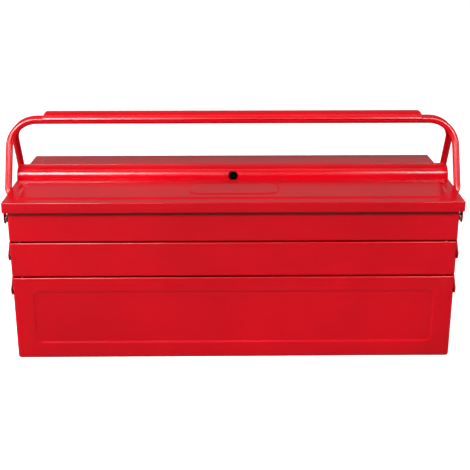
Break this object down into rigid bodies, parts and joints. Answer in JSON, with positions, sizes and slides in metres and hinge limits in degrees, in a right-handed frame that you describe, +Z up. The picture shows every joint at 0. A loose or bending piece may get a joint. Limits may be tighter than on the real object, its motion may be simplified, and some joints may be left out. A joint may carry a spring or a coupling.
{
  "type": "cantilever toolbox with trays",
  "caption": "Sheet-steel cantilever toolbox: deep base, mid and top trays that swing out on levers, outward-opening lids and folding bail handles.",
  "frame": {"origin": "centre of the base tray's underside, on the surface it stands on", "axes": "+X along the box's length, +Y to its rear, +Z up"},
  "size_m": [0.5566, 0.218, 0.2857],
  "materials": {
    "red_paint": "gloss",
    "zinc_steel": "satin"
  },
  "bodies": {
    "base": {"base_tray": "red_paint", "front_base_outer_rivet_left": "zinc_steel", "front_base_inner_rivet_left": "zinc_steel", "front_base_outer_rivet_right": "zinc_steel", "front_base_inner_rivet_right": "zinc_steel", "rear_base_outer_rivet_left": "zinc_steel", "rear_base_inner_rivet_left": "zinc_steel", "rear_base_outer_rivet_right": "zinc_steel", "rear_base_inner_rivet_right": "zinc_steel"},
    "front_long_levers": {"front_long_lever_left": "red_paint", "front_long_lever_right": "red_paint"},
    "front_lower_short_levers": {"front_lower_short_lever_left": "red_paint", "front_lower_short_lever_right": "red_paint"},
    "front_upper_short_levers": {"front_upper_short_lever_left": "red_paint", "front_upper_short_lever_right": "red_paint"},
    "front_mid": {"front_mid_tray": "red_paint", "front_mid_outer_rivet_left": "zinc_steel", "front_mid_outer_rivet_right": "zinc_steel", "front_mid_centre_rivet_left": "zinc_steel", "front_mid_centre_rivet_right": "zinc_steel", "front_mid_inner_rivet_left": "zinc_steel", "front_mid_inner_rivet_right": "zinc_steel"},
    "front_top": {"front_top_tray": "red_paint", "front_top_outer_rivet_left": "zinc_steel", "front_top_outer_rivet_right": "zinc_steel", "front_top_inner_rivet_left": "zinc_steel", "front_top_inner_rivet_right": "zinc_steel", "front_lid_hinge_rivet_left": "zinc_steel", "front_lid_hinge_rivet_right": "zinc_steel", "front_handle_bush_left": "zinc_steel", "front_handle_bush_right": "zinc_steel"},
    "front_lid": {"front_lid": "red_paint"},
    "front_handle": {"front_handle": "red_paint", "grip_cover": "red_paint"},
    "rear_long_levers": {"rear_long_lever_left": "red_paint", "rear_long_lever_right": "red_paint"},
    "rear_lower_short_levers": {"rear_lower_short_lever_left": "red_paint", "rear_lower_short_lever_right": "red_paint"},
    "rear_upper_short_levers": {"rear_upper_short_lever_left": "red_paint", "rear_upper_short_lever_right": "red_paint"},
    "rear_mid": {"rear_mid_tray": "red_paint", "rear_mid_outer_rivet_left": "zinc_steel", "rear_mid_outer_rivet_right": "zinc_steel", "rear_mid_centre_rivet_left": "zinc_steel", "rear_mid_centre_rivet_right": "zinc_steel", "rear_mid_inner_rivet_left": "zinc_steel", "rear_mid_inner_rivet_right": "zinc_steel"},
    "rear_top": {"rear_top_tray": "red_paint", "rear_top_outer_rivet_left": "zinc_steel", "rear_top_outer_rivet_right": "zinc_steel", "rear_top_inner_rivet_left": "zinc_steel", "rear_top_inner_rivet_right": "zinc_steel", "rear_lid_hinge_rivet_left": "zinc_steel", "rear_lid_hinge_rivet_right": "zinc_steel", "rear_handle_bush_left": "zinc_steel", "rear_handle_bush_right": "zinc_steel"},
    "rear_lid": {"rear_lid": "red_paint"},
    "rear_handle": {"rear_handle": "red_paint"}
  },
  "joints": [
    {"name": "front_spread", "type": "hinge", "parent": "base", "child": "front_long_levers", "pos_m": [0, -0.095, 0.089], "axis": [1, 0, 0], "range_deg": [0, 87]},
    {"name": "front_mid_level", "type": "hinge", "parent": "front_long_levers", "child": "front_mid", "pos_m": [0, -0.053, 0.133], "axis": [1, 0, 0], "range_deg": [-87, 0]},
    {"name": "front_top_level", "type": "hinge", "parent": "front_long_levers", "child": "front_top", "pos_m": [0, -0.011, 0.177], "axis": [1, 0, 0], "range_deg": [-87, 0]},
    {"name": "front_lower_short_swing", "type": "hinge", "parent": "base", "child": "front_lower_short_levers", "pos_m": [0, -0.053, 0.089], "axis": [1, 0, 0], "range_deg": [0, 87]},
    {"name": "front_upper_short_swing", "type": "hinge", "parent": "front_mid", "child": "front_upper_short_levers", "pos_m": [0, -0.095, 0.133], "axis": [1, 0, 0], "range_deg": [0, 87]},
    {"name": "front_lid_hinge", "type": "hinge", "parent": "front_top", "child": "front_lid", "pos_m": [0, -0.095, 0.1785], "axis": [1, 0, 0], "range_deg": [0, 95]},
    {"name": "front_handle_swing", "type": "hinge", "parent": "front_top", "child": "front_handle", "pos_m": [0, -0.053, 0.177], "axis": [1, 0, 0], "range_deg": [0, 105]},
    {"name": "rear_spread", "type": "hinge", "parent": "base", "child": "rear_long_levers", "pos_m": [0, 0.095, 0.089], "axis": [-1, 0, 0], "range_deg": [0, 87]},
    {"name": "rear_mid_level", "type": "hinge", "parent": "rear_long_levers", "child": "rear_mid", "pos_m": [0, 0.053, 0.133], "axis": [-1, 0, 0], "range_deg": [-87, 0]},
    {"name": "rear_top_level", "type": "hinge", "parent": "rear_long_levers", "child": "rear_top", "pos_m": [0, 0.011, 0.177], "axis": [-1, 0, 0], "range_deg": [-87, 0]},
    {"name": "rear_lower_short_swing", "type": "hinge", "parent": "base", "child": "rear_lower_short_levers", "pos_m": [0, 0.053, 0.089], "axis": [-1, 0, 0], "range_deg": [0, 87]},
    {"name": "rear_upper_short_swing", "type": "hinge", "parent": "rear_mid", "child": "rear_upper_short_levers", "pos_m": [0, 0.095, 0.133], "axis": [-1, 0, 0], "range_deg": [0, 87]},
    {"name": "rear_lid_hinge", "type": "hinge", "parent": "rear_top", "child": "rear_lid", "pos_m": [0, 0.095, 0.1785], "axis": [-1, 0, 0], "range_deg": [0, 95]},
    {"name": "rear_handle_swing", "type": "hinge", "parent": "rear_top", "child": "rear_handle", "pos_m": [0, 0.053, 0.177], "axis": [-1, 0, 0], "range_deg": [0, 105]}
  ],
  "couplings": [
    {"joint": "front_mid_level", "follows": "front_spread", "ratio": -1},
    {"joint": "front_top_level", "follows": "front_spread", "ratio": -1},
    {"joint": "front_lower_short_swing", "follows": "front_spread", "ratio": 1},
    {"joint": "front_upper_short_swing", "follows": "front_spread", "ratio": 1},
    {"joint": "rear_mid_level", "follows": "rear_spread", "ratio": -1},
    {"joint": "rear_top_level", "follows": "rear_spread", "ratio": -1},
    {"joint": "rear_lower_short_swing", "follows": "rear_spread", "ratio": 1},
    {"joint": "rear_upper_short_swing", "follows": "rear_spread", "ratio": 1}
  ]
}
